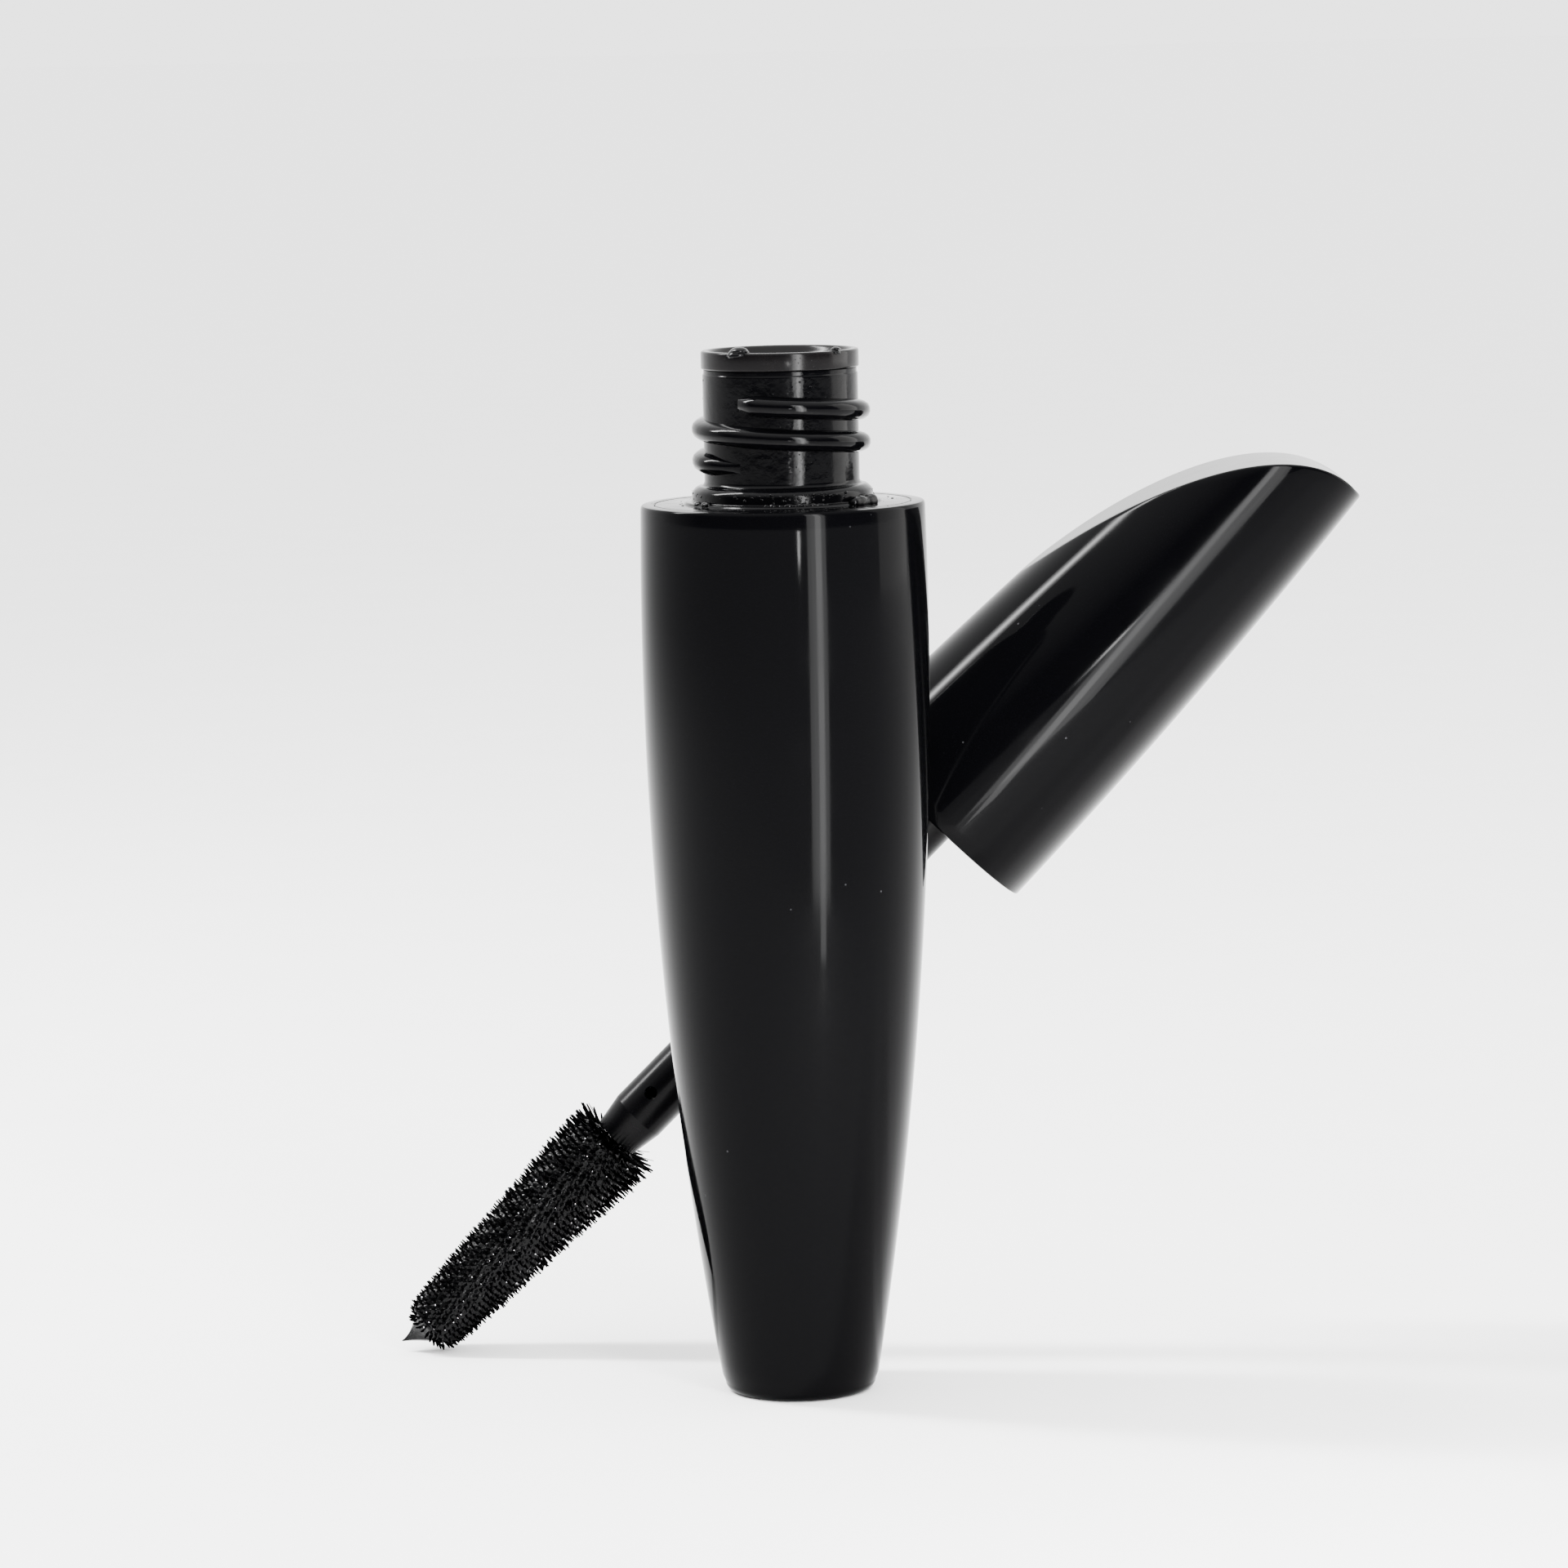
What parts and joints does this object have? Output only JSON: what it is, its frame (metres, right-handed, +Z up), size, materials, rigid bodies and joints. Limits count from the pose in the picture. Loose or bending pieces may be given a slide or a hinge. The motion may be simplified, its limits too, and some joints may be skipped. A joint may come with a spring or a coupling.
{
  "type": "mascara tube",
  "caption": "Round tapered mascara tube with a threaded neck and wiper, open, with its slant-topped cap, stem and brush resting diagonally behind it.",
  "frame": {"origin": "centre of the tube's flat base, on the floor", "axes": "+Z up along the tube's axis; +X to the right and -Y towards the viewer; the wand lies in a plane parallel to XZ behind the tube"},
  "size_m": [0.0805, 0.0381, 0.0842],
  "materials": {
    "gloss_black": "gloss",
    "neck_plastic": "gloss",
    "soft_plastic": "satin",
    "liner_plastic": "satin",
    "wiper_rubber": "satin",
    "paste": "wet",
    "wire": "drawn",
    "fibre": "fibre"
  },
  "bodies": {
    "bottle": {"outer_shell": "gloss_black", "inner_vial": "neck_plastic", "wiper": "wiper_rubber", "formula": "paste"},
    "seal": {"cap_gasket": "wiper_rubber"},
    "applicator": {"cap_shell": "gloss_black", "cap_liner": "liner_plastic", "stem": "soft_plastic", "brush_core": "wire", "bristles": "fibre"}
  },
  "joints": [
    {"name": "applicator_draw", "type": "slide", "parent": "bottle", "child": "seal", "axis": [0.7096, 0, 0.7046], "range_m": [0, 0.065]},
    {"name": "cap_turn", "type": "hinge", "parent": "seal", "child": "applicator", "pos_m": [0.012, 0.017, 0.04455], "axis": [-0.7096, 0, -0.7046], "range_deg": [0, 540]}
  ]
}
